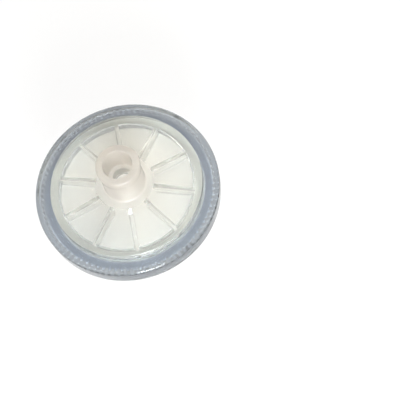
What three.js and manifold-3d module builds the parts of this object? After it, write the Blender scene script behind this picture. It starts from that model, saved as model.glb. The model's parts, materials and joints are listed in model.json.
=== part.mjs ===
// Inline hydrophobic disc filter: two clear moulded shells clamp a membrane and its fleece,
// and a band moulded round their toothed flanges holds the stack together.
// Millimetres, +Z up. It stands on its stepped inlet port, with the wide outlet port on top.
// Heights named "reach" or "height" are measured from the plane where the two shells meet.
import * as THREE from "three";
import { mergeVertices } from "three/addons/utils/BufferGeometryUtils.js";
import Module from "manifold-3d";

const wasm = await Module();
wasm.setup();

// Membrane and fleece, clamped between the shells
const membraneDiameter = 50;
const membraneThickness = 0.3;
const fleeceThickness = 0.5;
const pocketGap = 0.3;
const clampWidth = 3.1;

// Shells
const shellWall = 1.5;
const domeInset = 0.4;
const outletDomeHeight = 5.15;
const outletHubHeight = 6.8;
const inletDomeHeight = 4.6;
const inletHubHeight = 5.7;
const domeEdgeRound = 0.5;
const portFillet = 0.8;

// Flanges inside the band
const flangeThickness = 2.0;
const flangeLand = 2.4;
const toothCount = 90;
const toothDepth = 0.7;
const toothShare = 0.5;

// Sealing band
const bandThickness = 6.9;
const bandCornerRound = 1.1;
const bandWall = 1.5;
const mouldGap = 0.1;

// Ribs inside each shell
const ribCount = 10;
const ribThickness = 1.2;
const ribStartRadius = 9;
const ribNoseSlope = 1.2;

// Outlet port: a plain socket with a bead at its mouth and a step down to a smaller hole
const outletPortLength = 13;
const outletBaseDiameter = 13.6;
const outletWaistDiameter = 13.2;
const outletBeadDiameter = 13.8;
const outletBeadInset = 2.2;
const outletBeadRise = 2.4;
const outletMouthRound = 0.6;
const socketDiameter = 9.2;
const socketDepth = 9.4;
const socketMouthRound = 0.3;
const outletHoleDiameter = 6.2;

// Inlet port: a stepped hose stub with a slight draft
const wideStubLength = 12;
const wideStubBaseDiameter = 11.15;
const wideStubEndDiameter = 10.9;
const stubTaperLength = 2.5;
const narrowStubLength = 13.8;
const narrowStubBaseDiameter = 8.85;
const stubTipDiameter = 8;
const stubTipRound = 0.4;
const stubBoreDiameter = 5.2;
const stubBoreRound = 0.2;

// Fineness
const turnSteps = 60;
const arcSteps = 3;

// Radii and heights that follow from the sizes above
const membraneRadius = membraneDiameter / 2;
const stackHalf = (membraneThickness + fleeceThickness) / 2;
const membraneTop = membraneThickness - stackHalf;
const pocketRadius = membraneRadius + pocketGap;
const chamberRadius = membraneRadius - clampWidth;
const domeRadius = membraneRadius - domeInset;
const toothRootRadius = pocketRadius + flangeLand;
const toothTipRadius = toothRootRadius + toothDepth;
const bandRadius = toothTipRadius + mouldGap + bandWall;
const outletReach = outletHubHeight + outletPortLength;
const inletReach = inletHubHeight + wideStubLength + stubTaperLength + narrowStubLength;

// An arc in place of a corner, tangent to both of its sides.
function roundCorner(before, corner, after, radius) {
  const toBefore = before.clone().sub(corner).normalize();
  const toAfter = after.clone().sub(corner).normalize();
  const halfAngle = Math.acos(toBefore.dot(toAfter)) / 2;
  const middle = toBefore.clone().add(toAfter).normalize();
  const centre = corner.clone().addScaledVector(middle, radius / Math.sin(halfAngle));
  const reach = radius / Math.tan(halfAngle);
  const start = corner.clone().addScaledVector(toBefore, reach).sub(centre);
  const end = corner.clone().addScaledVector(toAfter, reach).sub(centre);
  let turn = end.angle() - start.angle();
  if (turn > Math.PI) turn -= 2 * Math.PI;
  if (turn < -Math.PI) turn += 2 * Math.PI;
  const points = [];
  for (let i = 0; i <= arcSteps; i += 1) {
    const angle = start.angle() + (turn * i) / arcSteps;
    points.push(new THREE.Vector2(centre.x + radius * Math.cos(angle), centre.y + radius * Math.sin(angle)));
  }
  return points;
}

// Corners are [radius from the axis, height, rounding]; side is +1 above the joint and -1 below it.
function outline(corners, side) {
  const points = corners.map(([radius, height]) => new THREE.Vector2(radius, side * height));
  const count = points.length;
  const path = points.flatMap((point, i) => {
    const rounding = corners[i][2];
    if (!rounding) return [point];
    return roundCorner(points[(i + count - 1) % count], point, points[(i + 1) % count], rounding);
  });
  return THREE.ShapeUtils.isClockWise(path) ? path.reverse() : path;
}

function solidFrom(geometry) {
  const bare = geometry.clone();
  bare.deleteAttribute("normal");
  bare.deleteAttribute("uv");
  const merged = mergeVertices(bare);
  return new wasm.Manifold(new wasm.Mesh({
    numProp: 3,
    vertProperties: merged.attributes.position.array,
    triVerts: new Uint32Array(merged.index.array),
  }));
}

function revolve(corners, side = 1) {
  const path = outline(corners, side);
  const geometry = new THREE.LatheGeometry([...path, path[0]], turnSteps);
  return solidFrom(geometry.rotateX(Math.PI / 2));
}

// The flange's edge has square teeth; grow widens the outline evenly, for the hollow that receives it.
function toothedPlate(low, high, grow, holeRadius) {
  const root = toothRootRadius + grow;
  const tip = toothTipRadius + grow;
  const pitch = (2 * Math.PI) / toothCount;
  const half = (pitch * toothShare) / 2 + grow / tip;
  const corners = [[root, -half], [tip, -half], [tip, half], [root, half]];
  const points = [];
  for (let i = 0; i < toothCount; i += 1) {
    corners.forEach(([radius, offset]) => {
      const angle = i * pitch + offset;
      points.push(new THREE.Vector2(radius * Math.cos(angle), radius * Math.sin(angle)));
    });
  }
  const shape = new THREE.Shape(points);
  if (holeRadius) shape.holes.push(new THREE.Path().absarc(0, 0, holeRadius, 0, 2 * Math.PI, true));
  const settings = { depth: high - low, bevelEnabled: false, curveSegments: turnSteps };
  return solidFrom(new THREE.ExtrudeGeometry(shape, settings).translate(0, 0, low));
}

// Under side of the dome at a radius: one wall below its outer cone.
function ceilingHeight(radius, domeHeight, hubHeight, baseRadius) {
  const share = (domeRadius - radius) / (domeRadius - baseRadius);
  return domeHeight + (hubHeight - domeHeight) * share - shellWall;
}

// A rib hangs from the dome to the clamping plane, and its ends sink into the wall that carries it.
function rib(index, side, ceiling) {
  const sunk = shellWall / 2;
  const outer = chamberRadius + sunk;
  const foot = ribStartRadius + ribNoseSlope;
  const shape = new THREE.Shape([
    new THREE.Vector2(foot, side * stackHalf),
    new THREE.Vector2(outer, side * stackHalf),
    new THREE.Vector2(outer, side * (ceiling(outer) + sunk)),
    new THREE.Vector2(ribStartRadius, side * (ceiling(ribStartRadius) + sunk)),
  ]);
  const plate = new THREE.ExtrudeGeometry(shape, { depth: ribThickness, bevelEnabled: false });
  plate.translate(0, 0, -ribThickness / 2).rotateX(Math.PI / 2);
  return solidFrom(plate.rotateZ((index * 2 * Math.PI) / ribCount));
}

// Both shells share everything but their dome's height and their port.
function shell(side, domeHeight, hubHeight, baseDiameter, holeDiameter, port) {
  const baseRadius = baseDiameter / 2;
  const holeRadius = holeDiameter / 2;
  const ceiling = (radius) => ceilingHeight(radius, domeHeight, hubHeight, baseRadius);
  let body = revolve([
    [holeRadius, ceiling(holeRadius)],
    [chamberRadius, ceiling(chamberRadius)],
    [chamberRadius, stackHalf],
    [pocketRadius, stackHalf],
    [pocketRadius, 0],
    [toothRootRadius - toothDepth, 0],
    [toothRootRadius - toothDepth, flangeThickness],
    [domeRadius, flangeThickness],
    [domeRadius, domeHeight, domeEdgeRound],
    [baseRadius, hubHeight, portFillet],
    ...port,
  ], side);
  const flange = [0, side * flangeThickness].sort((a, b) => a - b);
  body = body.add(toothedPlate(flange[0], flange[1], 0, toothRootRadius - 2 * toothDepth));
  for (let i = 0; i < ribCount; i += 1) body = body.add(rib(i, side, ceiling));
  return body;
}

function outletPort() {
  const beadHeight = outletReach - outletBeadInset;
  return [
    [outletWaistDiameter / 2, beadHeight - outletBeadRise],
    [outletBeadDiameter / 2, beadHeight],
    [outletBeadDiameter / 2, outletReach, outletMouthRound],
    [socketDiameter / 2, outletReach, socketMouthRound],
    [socketDiameter / 2, outletReach - socketDepth],
    [outletHoleDiameter / 2, outletReach - socketDepth],
  ];
}

function inletPort() {
  const stepHeight = inletHubHeight + wideStubLength;
  return [
    [wideStubEndDiameter / 2, stepHeight],
    [narrowStubBaseDiameter / 2, stepHeight + stubTaperLength],
    [stubTipDiameter / 2, inletReach, stubTipRound],
    [stubBoreDiameter / 2, inletReach, stubBoreRound],
  ];
}

// A ring round both flanges, with a hollow of the flanges' own toothed outline.
function sealingBand() {
  const half = bandThickness / 2;
  const ring = revolve([
    [domeRadius + mouldGap, -half],
    [bandRadius, -half, bandCornerRound],
    [bandRadius, half, bandCornerRound],
    [domeRadius + mouldGap, half],
  ]);
  return ring.subtract(toothedPlate(-flangeThickness, flangeThickness, mouldGap));
}

function disc(low, high) {
  return revolve([[0, low], [membraneRadius, low], [membraneRadius, high], [0, high]]);
}

const clearPlastic = { color: 0xd6dde4, roughness: 0.25, metalness: 0, transparent: true, opacity: 0.55 };
const milkyPlastic = { color: 0xc3ccd6, roughness: 0.35, metalness: 0, transparent: true, opacity: 0.7 };
const whiteMembrane = { color: 0xf4f2ec, roughness: 0.9, metalness: 0 };
const whiteFleece = { color: 0xf1efe8, roughness: 1, metalness: 0 };

const filter = new THREE.Group();
filter.position.z = inletReach;

function piece(name, solid, finish) {
  const mesh = solid.getMesh();
  const geometry = new THREE.BufferGeometry();
  geometry.setAttribute("position", new THREE.BufferAttribute(mesh.vertProperties, 3));
  geometry.setIndex(new THREE.BufferAttribute(mesh.triVerts, 1));
  geometry.computeVertexNormals();
  const object = new THREE.Mesh(geometry, new THREE.MeshStandardMaterial(finish));
  object.name = name;
  filter.add(object);
}

piece("inlet_shell", shell(-1, inletDomeHeight, inletHubHeight, wideStubBaseDiameter, stubBoreDiameter,
  inletPort()), clearPlastic);
piece("outlet_shell", shell(1, outletDomeHeight, outletHubHeight, outletBaseDiameter, outletHoleDiameter,
  outletPort()), clearPlastic);
piece("membrane", disc(-stackHalf, membraneTop), whiteMembrane);
piece("support_fleece", disc(membraneTop, stackHalf), whiteFleece);
piece("sealing_band", sealingBand(), milkyPlastic);

export default filter;
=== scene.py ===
# A clear plastic disc filter standing on its hose stub, seen from above on its wide port's side.
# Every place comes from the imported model. The smooth pieces built here stand for its faceted ones.
import json
import math

import bpy
import numpy as np
from mathutils import Euler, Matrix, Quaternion, Vector

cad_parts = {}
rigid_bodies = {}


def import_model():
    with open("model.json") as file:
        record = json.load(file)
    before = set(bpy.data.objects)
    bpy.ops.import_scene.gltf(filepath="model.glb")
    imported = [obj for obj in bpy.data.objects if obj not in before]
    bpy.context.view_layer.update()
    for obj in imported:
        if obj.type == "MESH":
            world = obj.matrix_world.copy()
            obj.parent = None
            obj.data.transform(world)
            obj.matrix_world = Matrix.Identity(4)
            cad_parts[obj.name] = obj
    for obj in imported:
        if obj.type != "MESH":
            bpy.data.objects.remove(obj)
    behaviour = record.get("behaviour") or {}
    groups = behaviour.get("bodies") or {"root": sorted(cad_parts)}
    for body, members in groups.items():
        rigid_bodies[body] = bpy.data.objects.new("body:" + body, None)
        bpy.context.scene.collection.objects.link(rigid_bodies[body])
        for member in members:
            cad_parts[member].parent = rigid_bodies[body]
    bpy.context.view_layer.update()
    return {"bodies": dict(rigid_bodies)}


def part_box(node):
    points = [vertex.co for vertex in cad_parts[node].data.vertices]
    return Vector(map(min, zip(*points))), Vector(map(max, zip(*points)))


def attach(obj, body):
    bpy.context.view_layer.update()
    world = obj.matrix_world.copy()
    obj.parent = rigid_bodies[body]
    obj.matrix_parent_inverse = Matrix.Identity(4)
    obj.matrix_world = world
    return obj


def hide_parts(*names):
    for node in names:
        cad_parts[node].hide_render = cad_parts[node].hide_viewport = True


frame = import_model()
mm = 0.001


# The low and the high corner of a model node's box, in millimetres.
def nodeBox(node):
    low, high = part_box(node)
    return np.array(low) / mm, np.array(high) / mm


# The joint is the plane between the two shells. The other heights count from it.
jointHeight = nodeBox("inlet_shell")[1][2]
inletReach = jointHeight - nodeBox("inlet_shell")[0][2]
outletReach = nodeBox("outlet_shell")[1][2] - jointHeight
membraneLow = nodeBox("membrane")[0][2] - jointHeight
membraneHigh = nodeBox("membrane")[1][2] - jointHeight
fleeceHigh = nodeBox("support_fleece")[1][2] - jointHeight
membraneRadius = nodeBox("membrane")[1][0]
bandRadius = nodeBox("sealing_band")[1][0]
bandHalf = nodeBox("sealing_band")[1][2] - jointHeight
print("model read: joint at", round(jointHeight, 2), "mm, rim radius", round(bandRadius, 2), "mm")


# A profile is a closed line round a section: rows of radius, height, zone. Its corners are
# [radius, height, rounding, longest step to the next corner, zone]. A rounding is an arc that starts and ends
# at its radius over the tangent of half the corner's angle, round a centre down the bisector by its radius
# over the sine of that half.
def roundedProfile(corners, arcSteps=6):
    table = np.array(corners, float)
    point, rounding, step, zone = table[:, :2], table[:, 2], table[:, 3], table[:, 4]

    def towards(other):
        way = other - point
        return way / np.linalg.norm(way, axis=1, keepdims=True)

    before, after = towards(np.roll(point, 1, axis=0)), towards(np.roll(point, -1, axis=0))
    half = np.arccos(np.clip((before * after).sum(axis=1), -1, 1)) / 2
    middle = before + after
    middle /= np.maximum(np.linalg.norm(middle, axis=1, keepdims=True), 1e-9)
    centre = point + middle * (rounding / np.sin(half))[:, None]
    reach = (rounding / np.tan(half))[:, None]
    start, end = point + before * reach - centre, point + after * reach - centre
    first = np.arctan2(start[:, 1], start[:, 0])
    turn = np.arctan2(end[:, 1], end[:, 0]) - first
    turn = (turn + np.pi) % (2 * np.pi) - np.pi
    share = np.linspace(0, 1, arcSteps + 1)
    angle = first[:, None] + turn[:, None] * share
    arc = centre[:, None] + rounding[:, None, None] * np.stack([np.cos(angle), np.sin(angle)], -1)
    lines = [arc[i] if rounding[i] > 0 else point[i:i + 1] for i in range(len(table))]
    rows = []
    for i, own in enumerate(lines):
        following = lines[(i + 1) % len(lines)][0]
        count = max(1, math.ceil(np.linalg.norm(following - own[-1]) / step[i]))
        straight = own[-1] + (following - own[-1]) * np.linspace(0, 1, count + 1)[1:-1, None]
        line = np.concatenate([own, straight])
        rows.append(np.column_stack([line, np.full(len(line), zone[i])]))
    return np.concatenate(rows)


# A mesh from a grid of points that closes on itself both ways. The sum of its faces' triple products is its
# signed volume, and where that is negative the faces are turned to point out.
def closedGrid(name, points):
    rings, lines = points.shape[:2]
    ring, line = np.arange(rings)[:, None], np.arange(lines)[None, :]
    nextRing, nextLine = (ring + 1) % rings, (line + 1) % lines
    faces = np.stack([ring * lines + line, ring * lines + nextLine,
                      nextRing * lines + nextLine, nextRing * lines + line], -1).reshape(-1, 4)
    corners = points.reshape(-1, 3) * mm
    a, b, c, d = (corners[faces[:, k]] for k in range(4))
    volume = (np.cross(b - a, c - a) * a).sum() + (np.cross(c - a, d - a) * a).sum()
    return solidMesh(name, corners, faces if volume > 0 else faces[:, ::-1])


sharpAngle = math.radians(38)  # edges that bend more than this stay crisp


# A mesh from corner places in metres and faces as rows of corner numbers.
def solidMesh(name, corners, faces):
    mesh = bpy.data.meshes.new(name)
    mesh.vertices.add(len(corners))
    mesh.vertices.foreach_set("co", corners.astype(np.float32).ravel())
    mesh.loops.add(faces.size)
    mesh.loops.foreach_set("vertex_index", faces.astype(np.int32).ravel())
    mesh.polygons.add(len(faces))
    mesh.polygons.foreach_set("loop_start", np.arange(0, faces.size, faces.shape[1], dtype=np.int32))
    mesh.update(calc_edges=True)
    mesh.validate()
    mesh.shade_smooth()
    mesh.set_sharp_from_angle(angle=sharpAngle)
    piece = bpy.data.objects.new(name, mesh)
    bpy.context.scene.collection.objects.link(piece)
    return piece


rim = {
    "teeth": 90,
    "toothShare": 0.5,  # of the pitch
    "toothDepth": 0.7,
    "toothTip": 28.4,
    "toothFace": 1.2,  # width of the flat face that steps in between teeth
    "flankWidth": 0.1,
    "mouldGap": 0.1,
    "flange": 2.0,
    "corner": 1.1,
}
ribs = {
    "count": 10,
    "root": 1.3,  # width at the ceiling
    "foot": 1.1,  # width at the disc
    "start": 9.0,
    "nose": 0.3,
    "lift": 0.04,
    "lean": 0.01,  # rise of the foot for each millimetre of the ceiling above it
}


# Angles of the grid's lines round the rim: the pitch times the tooth's number, plus offsets for its two
# flanks, its middle and the middle of the gap. gap is 1 on the lines that lie between two teeth.
def toothLines(grow):
    pitch = 2 * np.pi / rim["teeth"]
    half = pitch * rim["toothShare"] / 2 + grow / rim["toothTip"]
    flank = rim["flankWidth"] / 2 / rim["toothTip"]
    offsets = np.array([-half - flank, -half + flank, 0, half - flank, half + flank, pitch / 2])
    gap = np.array([1, 0, 0, 0, 1, 1])
    angle = np.arange(rim["teeth"])[:, None] * pitch + offsets
    return angle.ravel(), np.broadcast_to(gap, angle.shape).ravel()


# The tooth lines with four lines for each rib among them, at half its root and foot widths over the radius.
# foot is 1 on a rib and 0 between ribs.
def shellLines(outerRadius):
    angle, gap = toothLines(0)
    spacing = 2 * np.pi / ribs["count"]
    own = np.array([-ribs["root"], -ribs["foot"], ribs["foot"], ribs["root"]]) / 2 / outerRadius
    extra = (np.arange(ribs["count"])[:, None] * spacing + own).ravel()
    # a rib line takes the state of the tooth line nearest to it
    far = np.abs((extra[:, None] - angle + np.pi) % (2 * np.pi) - np.pi)
    angle, gap = np.concatenate([angle, extra]), np.concatenate([gap, gap[far.argmin(axis=1)]])
    order = np.argsort(angle)
    angle, gap = angle[order], gap[order]
    fromRib = (angle + spacing / 2) % spacing - spacing / 2
    foot = (np.abs(fromRib) * outerRadius <= ribs["foot"] / 2 + 1e-6).astype(float)
    return angle, gap, fromRib, foot


# Half a housing: a profile turned about the axis, x = r cos(angle), y = r sin(angle). Zone 1 is the chamber's
# ceiling and wall, where ribs reach down to the foot height. Zone 2 is the flange's edge, where r loses the
# tooth's depth between teeth.
def turnedShell(name, profile, side, chamberRadius, footHeight):
    angle, gap, fromRib, foot = shellLines(chamberRadius)
    radius, height, zone = profile.T
    # lines next to a rib spread as the radius shrinks, so a rib keeps its width all the way in
    spacing = np.pi / ribs["count"]
    atWall = ribs["root"] / 2 / chamberRadius
    here = ribs["root"] / 2 / np.clip(radius, ribs["start"], chamberRadius)[:, None]
    away = np.abs(fromRib)[None, :]
    spread = np.where(away <= atWall, away * here / atWall,
                      here + (away - atWall) * (spacing - here) / (spacing - atWall))
    turned = angle[None, :] - fromRib[None, :] + np.sign(fromRib)[None, :] * spread
    r = radius[:, None] - rim["toothDepth"] * gap[None, :] * (zone == 2)[:, None]
    nose = np.clip((radius - ribs["start"]) / ribs["nose"], 0, 1)
    share = ((zone == 1) * nose)[:, None] * foot[None, :]
    low = footHeight + ribs["lift"] + ribs["lean"] * (height[:, None] - footHeight)
    z = height[:, None] * (1 - share) + np.minimum(low, height[:, None]) * share
    points = np.stack([r * np.cos(turned), r * np.sin(turned), jointHeight + side * z + 0 * r], -1)
    return closedGrid(name, points)


shellCommon = {
    "wall": 1.5,
    "chamber": 21.9,
    "dome": 24.6,
    "pocket": 25.3,
    "pinchRound": 0.03,  # less than the ribs' lift, so that the wall runs straight down behind a rib
    "air": 0.03,  # keeps pieces that touch from lying in one plane
}


# Under side of the dome, one wall below the cone between the dome's edge and the port's foot.
def ceilingAt(radius, domeHeight, hubHeight, footRadius):
    share = (shellCommon["dome"] - radius) / (shellCommon["dome"] - footRadius)
    return domeHeight + (hubHeight - domeHeight) * share - shellCommon["wall"]


# The corners that both shells share, from the chamber's hole round the pocket, the flange and the dome.
# The toothed edge goes to the flat face in a single step, so that no row of it passes the next corner.
def shellCorners(domeHeight, hubHeight, footRadius, holeRadius, stackHalf):
    c = shellCommon
    flange, tip = rim["flange"] - c["air"], rim["toothTip"]
    return [
        [holeRadius, ceilingAt(holeRadius, domeHeight, hubHeight, footRadius), 0.4, 0.8, 1],
        [c["chamber"], ceilingAt(c["chamber"], domeHeight, hubHeight, footRadius), 0.5, 1.2, 1],
        [c["chamber"], stackHalf, c["pinchRound"], 1.2, 0],
        [c["pocket"], stackHalf, 0, 1, 0],
        [c["pocket"], c["air"], 0, 1, 0],
        [tip, c["air"], 0.12, 1, 2],
        [tip, flange, 0.12, 2, 2],
        [tip - rim["toothFace"], flange, 0, 2, 0],
        [c["dome"], flange, 0.15, 1, 0],
        [c["dome"], domeHeight, 0.5, 2, 0],
        [footRadius, hubHeight, 0.8, 3, 0],
    ]


outlet = {
    "dome": 5.15,
    "hub": 6.8,
    "footRadius": 6.8,
    "waistRadius": 6.6,
    "beadRadius": 6.9,
    "beadInset": 2.2,  # from the mouth down to the bead
    "beadRise": 2.4,
    "mouthRound": 0.6,
    "socketRadius": 4.6,
    "socketDepth": 9.4,
    "socketTaper": 0.05,
    "holeRadius": 3.1,
}


# The shared corners, then up the wide port's waist and bead, over its mouth and down the stepped socket.
def makeOutletShell():
    o = outlet
    beadHeight = outletReach - o["beadInset"]
    floorHeight = outletReach - o["socketDepth"]
    shared = shellCorners(o["dome"], o["hub"], o["footRadius"], o["holeRadius"], fleeceHigh)
    profile = roundedProfile(shared + [
        [o["waistRadius"], beadHeight - o["beadRise"], 6, 1, 0],
        [o["beadRadius"], beadHeight, 3, 1, 0],
        [o["beadRadius"], outletReach, o["mouthRound"], 1, 0],
        [o["socketRadius"], outletReach, 0.3, 2, 0],
        [o["socketRadius"] - o["socketTaper"], floorHeight, 0.3, 1, 0],
        [o["holeRadius"], floorHeight, 0.25, 2, 0],
    ])
    return turnedShell("outletShell", profile, 1, shellCommon["chamber"], fleeceHigh)


inlet = {
    "dome": 4.6,
    "hub": 5.7,
    "footRadius": 5.575,
    "wideLength": 12.0,
    "wideEnd": 5.45,
    "taper": 2.5,
    "narrowRadius": 4.425,
    "tipRadius": 4.0,
    "tipRound": 0.4,
    "boreRadius": 2.6,
}


# The shared corners, then along the stub's wide length, its taper and its tip, and back up the bore.
def makeInletShell():
    i = inlet
    step = i["hub"] + i["wideLength"]
    shared = shellCorners(i["dome"], i["hub"], i["footRadius"], i["boreRadius"], -membraneLow)
    profile = roundedProfile(shared + [
        [i["wideEnd"], step, 0.8, 1, 0],
        [i["narrowRadius"], step + i["taper"], 0.8, 3, 0],
        [i["tipRadius"], inletReach, i["tipRound"], 1, 0],
        [i["boreRadius"], inletReach, 0.2, 4, 0],
    ])
    return turnedShell("inletShell", profile, -1, shellCommon["chamber"], -membraneLow)


# The band is a C-shaped section turned about the axis, with the teeth's own outline in its hollow, where r
# loses the tooth's depth between teeth.
def makeSealingBand():
    inner, hollow = shellCommon["dome"] + rim["mouldGap"], rim["toothTip"] + rim["mouldGap"]
    profile = roundedProfile([
        [inner, -bandHalf, 0.15, 2, 0],
        [bandRadius, -bandHalf, rim["corner"], 2, 0],
        [bandRadius, bandHalf, rim["corner"], 2, 0],
        [inner, bandHalf, 0.15, 1, 0],
        [inner, rim["flange"], 0.1, 1, 0],
        [hollow, rim["flange"], 0.1, 1, 2],
        [hollow, -rim["flange"], 0.1, 1, 2],
        [inner, -rim["flange"], 0.1, 1, 0],
    ])
    angle, gap = toothLines(rim["mouldGap"])
    radius, height, zone = profile.T
    r = radius[:, None] - rim["toothDepth"] * gap[None, :] * (zone == 2)[:, None]
    points = np.stack([r * np.cos(angle), r * np.sin(angle), jointHeight + height[:, None] + 0 * r], -1)
    return closedGrid("sealingBand", points)


disc = {
    "lines": 180,
    "pinhole": 0.01,
    "edgeRound": 0.4,  # of the thickness
    "arcSteps": 3,
}


# A disc: a flat section with rounded edges turned about the axis, down to a pinhole at the middle.
def makeDisc(name, low, high):
    edge = disc["edgeRound"] * (high - low)
    profile = roundedProfile([
        [disc["pinhole"], low, 0, 1, 0],
        [membraneRadius, low, edge, 1, 0],
        [membraneRadius, high, edge, 1, 0],
        [disc["pinhole"], high, 0, 1, 0],
    ], disc["arcSteps"])
    angle = np.linspace(0, 2 * np.pi, disc["lines"], endpoint=False)
    radius, height = profile[:, :1], profile[:, 1:2]
    z = jointHeight + height + 0 * angle
    return closedGrid(name, np.stack([radius * np.cos(angle), radius * np.sin(angle), z], -1))


# One socket in a material; sums and products with it add Math nodes.
class Wire:
    def __init__(self, tree, socket=None):
        self.tree, self.socket = tree, socket

    def node(self, kind, settings=None, inputs=None, out=0):
        made = self.tree.nodes.new(kind)
        for key, value in (settings or {}).items():
            setattr(made, key, value)
        for key, value in (inputs or {}).items():
            if isinstance(value, Wire):
                self.tree.links.new(value.socket, made.inputs[key])
            else:
                made.inputs[key].default_value = value
        return Wire(self.tree, made.outputs[out] if made.outputs else None)

    def maths(self, operation, first, second=0.0):
        return self.node("ShaderNodeMath", {"operation": operation}, {0: first, 1: second})

    # the named outputs of the node that this socket belongs to
    def outputs(self, *names):
        return [Wire(self.tree, self.socket.node.outputs[name]) for name in names]

    def __add__(self, other):
        return self.maths("ADD", self, other)

    def __sub__(self, other):
        return self.maths("SUBTRACT", self, other)

    def __rsub__(self, other):
        return self.maths("SUBTRACT", other, self)

    def __mul__(self, other):
        return self.maths("MULTIPLY", self, other)

    __radd__, __rmul__ = __add__, __mul__


# An empty material, and a wire to add its nodes with.
def newMaterial(name):
    material = bpy.data.materials.new(name)
    material.use_nodes = True
    material.node_tree.nodes.clear()
    return material, Wire(material.node_tree)


# The place of each point in its piece, in metres.
def pointOf(start):
    return start.node("ShaderNodeTexCoord", out="Object")


def color(r, g, b):
    return (r, g, b, 1)


def mixColors(start, share, first, second):
    settings = {"data_type": "RGBA"}
    return start.node("ShaderNodeMix", settings, {0: share, 6: first, 7: second}, 2)


# Noise over the piece, with grains of the given size in millimetres.
def cloud(start, point, size, detail=3.0):
    inputs = {"Vector": point, "Scale": 1 / (size * mm), "Detail": detail}
    return start.node("ShaderNodeTexNoise", None, inputs)


# Runs smoothly from 0 to 1 as the value goes from the first limit to the second.
def smoothStep(start, value, limits):
    inputs = {"Value": value, "From Min": limits[0], "From Max": limits[1]}
    return start.node("ShaderNodeMapRange", {"interpolation_type": "SMOOTHSTEP"}, inputs)


# Distance from the axis, the root of x squared plus y squared, and height over the joint, in millimetres.
def polar(start, point):
    x, y, z = start.node("ShaderNodeSeparateXYZ", None, {"Vector": point}).outputs(0, 1, 2)
    return start.maths("SQRT", x * x + y * y) * 1000, z * 1000 - jointHeight


plasticFinish = {
    "ior": 1.49,
    "coat": 0.1,
    "hazeSize": 9,
    "hazeRoughness": 0.06,
    "grainSize": 0.7,
    "grainDepth": 0.05,
    "grainStrength": 0.05,
}


# What the clear materials share: a thin coat, a faint grain, and roughness that rises a little in clouds.
def plasticGloss(start, point, look):
    f = plasticFinish
    haze, grain = cloud(start, point, f["hazeSize"]), cloud(start, point, f["grainSize"])
    bump = {"Strength": f["grainStrength"], "Distance": f["grainDepth"] * mm, "Height": grain}
    return {
        "IOR": f["ior"],
        "Coat Weight": f["coat"],
        "Coat Roughness": look["coatRoughness"],
        "Normal": start.node("ShaderNodeBump", None, bump),
        "Roughness": look["roughness"] + f["hazeRoughness"] * haze,
    }


# Each range is a pair of radii, or of heights from the joint, in millimetres.
shellPlastic = {
    "clear": color(0.985, 0.99, 0.98),
    "port": color(0.82, 0.775, 0.735),
    "flange": color(0.92, 0.935, 0.945),
    # painted shade: the flange's under side, near black, stands for the shaded floor seen through the rim
    "flangeUnderShade": color(0.16, 0.20, 0.26),
    "transmission": 0.98,
    "roughness": 0.12,
    "portRoughness": 0.38,
    "coatRoughness": 0.04,
    "portRange": (5.6, 7.6),
    "flangeRange": (25.0, 25.4),
    "flangeEnd": (27.6, 28.4),
    # radii where the painted shade on the flange's under side fades out
    "underShadeEnd": (27.5, 27.2),
    "milk": 0.08,
    "milkColor": color(0.82, 0.85, 0.83),
    "portMilkColor": color(0.74, 0.675, 0.62),
}


# Clear plastic with a little milk in it. The share of port colour grows with the height from the joint, and
# the flange's tint lies between two radii, where the milk is left out. On the under side that tint is painted
# shade, much darker.
def shellMaterial(name, look):
    material, start = newMaterial(name)
    point = pointOf(start)
    radius, height = polar(start, point)
    port = smoothStep(start, start.maths("ABSOLUTE", height), look["portRange"])
    # painted shade on the flange's under side, inside the radius where it ends
    under = start.maths("LESS_THAN", height, 0) * smoothStep(start, radius, look["underShadeEnd"])
    tint = mixColors(start, under, look["flange"], look["flangeUnderShade"])
    flange = smoothStep(start, radius, look["flangeRange"])
    flange = flange * (1 - smoothStep(start, radius, look["flangeEnd"]))
    body = mixColors(start, port, look["clear"], look["port"])
    gloss = plasticGloss(start, point, look)
    gloss["Roughness"] = gloss["Roughness"] + (look["portRoughness"] - look["roughness"]) * port
    clear = start.node("ShaderNodeBsdfPrincipled", None, {
        **gloss,
        "Base Color": mixColors(start, flange, body, tint),
        "Transmission Weight": look["transmission"],
    })
    milky = start.node("ShaderNodeBsdfPrincipled", None, {
        **gloss,
        "Base Color": mixColors(start, port, look["milkColor"], look["portMilkColor"]),
    })
    share = look["milk"] * (1 - flange)
    surface = start.node("ShaderNodeMixShader", None, {0: share, 1: clear, 2: milky})
    start.node("ShaderNodeOutputMaterial", None, {"Surface": surface})
    return material


bandPlastic = {
    "clear": color(0.87, 0.90, 0.935),
    "rim": color(0.70, 0.73, 0.76),
    # painted shade: the rim's under side, near black, stands for the shaded floor seen through it
    "rimUnderShade": color(0.12, 0.14, 0.165),
    "wall": color(0.32, 0.345, 0.375),
    "transmission": 0.96,
    "roughness": 0.10,
    "coatRoughness": 0.05,
    "rimRange": (28.3, 28.8),
    # the painted shade on the under side starts this much further in too
    "underShadeShift": 1.0,  # the rim's tint starts this much further in on the under side
    "wallRange": (29.5, 29.9),
}


# Clear plastic whose tint grows with the radius: a rim colour, much darker on the under side as painted shade,
# then the outer wall's.
def bandMaterial(name, look):
    material, start = newMaterial(name)
    point = pointOf(start)
    radius, height = polar(start, point)
    under = start.maths("LESS_THAN", height, 0)
    # painted shade: the under side takes the near black rim colour
    tint = mixColors(start, under, look["rim"], look["rimUnderShade"])
    tint = mixColors(start, smoothStep(start, radius, look["wallRange"]), tint, look["wall"])
    rimShare = smoothStep(start, radius + look["underShadeShift"] * under, look["rimRange"])
    surface = start.node("ShaderNodeBsdfPrincipled", None, {
        **plasticGloss(start, point, look),
        "Base Color": mixColors(start, rimShare, look["clear"], tint),
        "Transmission Weight": look["transmission"],
    })
    start.node("ShaderNodeOutputMaterial", None, {"Surface": surface})
    return material


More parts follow.
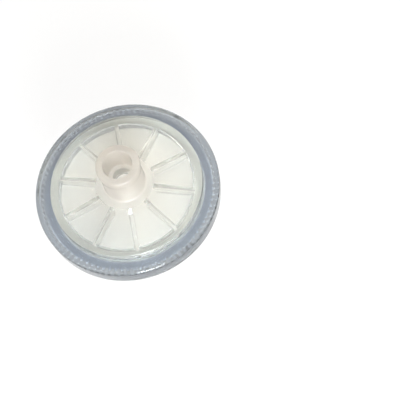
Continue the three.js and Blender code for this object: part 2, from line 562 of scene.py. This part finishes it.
fibreFinish = {
    "roughness": 0.85,
    "bump": 0.35,
    "bumpDepth": 0.05,
    "detail": 5,
    "pressed": color(0.625, 0.65, 0.63),
    "pressedRange": (21.8, 22.1),
}
fleece = {
    "light": color(0.945, 0.95, 0.94),
    "dark": color(0.905, 0.91, 0.90),
    "fibre": 0.12,
    "patch": 2.5,
}
membrane = {
    "light": color(0.95, 0.95, 0.94),
    "dark": color(0.91, 0.91, 0.90),
    "fibre": 0.06,
    "patch": 4,
}


# Matt white: half patches and half fibres between a light and a dark white, then the pressed edge's grey.
def fibreMaterial(name, look):
    material, start = newMaterial(name)
    point = pointOf(start)
    f = fibreFinish
    patch, fibre = cloud(start, point, look["patch"]), cloud(start, point, look["fibre"], f["detail"])
    loose = mixColors(start, 0.5 * patch + 0.5 * fibre, look["light"], look["dark"])
    pressed = smoothStep(start, polar(start, point)[0], f["pressedRange"])
    bump = {"Strength": f["bump"], "Distance": f["bumpDepth"] * mm, "Height": fibre}
    surface = start.node("ShaderNodeBsdfPrincipled", None, {
        "Base Color": mixColors(start, pressed, loose, f["pressed"]),
        "Roughness": f["roughness"],
        "Normal": start.node("ShaderNodeBump", None, bump),
    })
    start.node("ShaderNodeOutputMaterial", None, {"Surface": surface})
    return material


# Gives a piece its material and its body in the frame, and hides the model node that it stands for.
def place(piece, node, material):
    piece.data.materials.append(material)
    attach(piece, next(iter(frame["bodies"])))
    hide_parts(node)
    print("made", piece.name, len(piece.data.polygons), "faces")


clearShell = shellMaterial("clearShell", shellPlastic)
place(makeOutletShell(), "outlet_shell", clearShell)
place(makeInletShell(), "inlet_shell", clearShell)
place(makeSealingBand(), "sealing_band", bandMaterial("clearBand", bandPlastic))
gap = shellCommon["air"]
place(makeDisc("membraneDisc", membraneLow + gap, membraneHigh - gap), "membrane",
      fibreMaterial("membraneWhite", membrane))
place(makeDisc("fleeceDisc", membraneHigh + gap, fleeceHigh - gap), "support_fleece",
      fibreMaterial("fleeceWhite", fleece))


studio = {
    "floorSize": 3.0,
    "floorColor": color(0.8, 0.8, 0.8),
    "floorGlow": 0.9,  # share of the floor that looking rays see as plain white
    "world": 0.50,
    "worldColor": color(1.0, 0.955, 0.87),
    "keyPower": 2.0,
    "keySize": 0.09,
    "keyFrom": (-0.06, -0.21, 0.155),
    "keyColor": (0.93, 0.985, 1.0),
    "sidePower": 0.45,
    "sideSize": 0.12,
    "sideFrom": (0.19, 0.11, 0.17),
    "sideColor": (1.0, 0.93, 0.80),
}


# 1 for rays that look at the background: straight from the camera, or by way of gloss or clear plastic.
# Rays that have left a matt surface are 0, so the background doesn't light the discs.
def lookingRays(start):
    straight, glossy, through, bounced = start.node("ShaderNodeLightPath").outputs(
        "Is Camera Ray", "Is Glossy Ray", "Is Transmission Ray", "Diffuse Depth")
    turned = start.maths("MAXIMUM", glossy, through) * start.maths("LESS_THAN", bounced, 0.5)
    return start.maths("MAXIMUM", straight, turned)


# A flat square under the filter, centred on its axis.
def makeFloor():
    half = studio["floorSize"] / 2
    corners = np.array([[-half, -half, 0], [half, -half, 0], [half, half, 0], [-half, half, 0]])
    floor = solidMesh("floor", corners, np.array([[0, 1, 2, 3]]))
    material, start = newMaterial("paleFloor")
    matt = start.node("ShaderNodeBsdfDiffuse", None, {"Color": studio["floorColor"]})
    glow = start.node("ShaderNodeEmission", None, {"Color": color(1, 1, 1), "Strength": 1.0})
    share = studio["floorGlow"] * lookingRays(start)
    surface = start.node("ShaderNodeMixShader", None, {0: share, 1: matt, 2: glow})
    start.node("ShaderNodeOutputMaterial", None, {"Surface": surface})
    floor.data.materials.append(material)


def makeWorld():
    world = bpy.data.worlds.new("studio")
    bpy.context.scene.world = world
    world.use_nodes = True
    world.node_tree.nodes.clear()
    start = Wire(world.node_tree)
    inputs = {"Color": studio["worldColor"], "Strength": studio["world"]}
    light = start.node("ShaderNodeBackground", None, inputs)
    shown = start.node("ShaderNodeBackground", None, {"Color": color(1, 1, 1), "Strength": 1.0})
    surface = start.node("ShaderNodeMixShader", None, {0: lookingRays(start), 1: light, 2: shown})
    start.node("ShaderNodeOutputWorld", None, {"Surface": surface})


# A square lamp that points at the joint's middle and isn't seen itself.
def softLamp(name, where, power, size, tint):
    data = bpy.data.lights.new(name, "AREA")
    data.energy, data.size, data.color = power, size, tint
    lamp = bpy.data.objects.new(name, data)
    lamp.location = where
    lamp.visible_camera = False
    lamp.visible_glossy = False
    lamp.rotation_mode = "QUATERNION"
    aim = Vector((0, 0, jointHeight * mm)) - Vector(where)
    lamp.rotation_quaternion = aim.to_track_quat("-Z", "Y")
    bpy.context.scene.collection.objects.link(lamp)


camera = {
    "azimuth": -4.8,
    "elevation": 64.86,
    "roll": -23.98,
    "turnRight": 4.766,
    "turnDown": 0.675,
    "distance": 0.28,
    "lens": 77.29,
}


# The camera looks at the middle of the disc, leans over by the roll, and then turns a little, so that the
# filter sits off centre.
def makeCamera():
    azimuth, elevation = math.radians(camera["azimuth"]), math.radians(camera["elevation"])
    back = Vector((math.sin(azimuth) * math.cos(elevation), -math.cos(azimuth) * math.cos(elevation),
                   math.sin(elevation)))
    data = bpy.data.cameras.new("camera")
    data.lens = camera["lens"]
    data.clip_start, data.clip_end = 0.01, 10
    eye = bpy.data.objects.new("camera", data)
    eye.location = Vector((0, 0, jointHeight * mm)) + back * camera["distance"]
    look = (-back).to_track_quat("-Z", "Y")
    lean = Quaternion((0, 0, 1), math.radians(camera["roll"]))
    down, right = math.radians(camera["turnDown"]), math.radians(camera["turnRight"])
    turn = Euler((-down, -right, 0)).to_quaternion()
    eye.rotation_mode = "QUATERNION"
    eye.rotation_quaternion = look @ lean @ turn
    bpy.context.scene.collection.objects.link(eye)
    bpy.context.scene.camera = eye


makeFloor()
makeWorld()
softLamp("key", studio["keyFrom"], studio["keyPower"], studio["keySize"], studio["keyColor"])
softLamp("side", studio["sideFrom"], studio["sidePower"], studio["sideSize"], studio["sideColor"])
makeCamera()
bpy.context.scene.view_settings.view_transform = "Standard"
# light that has left a matt disc passes the clear plastic without added blur
bpy.context.scene.cycles.blur_glossy = 0
print("floor, world, lamps and camera made")
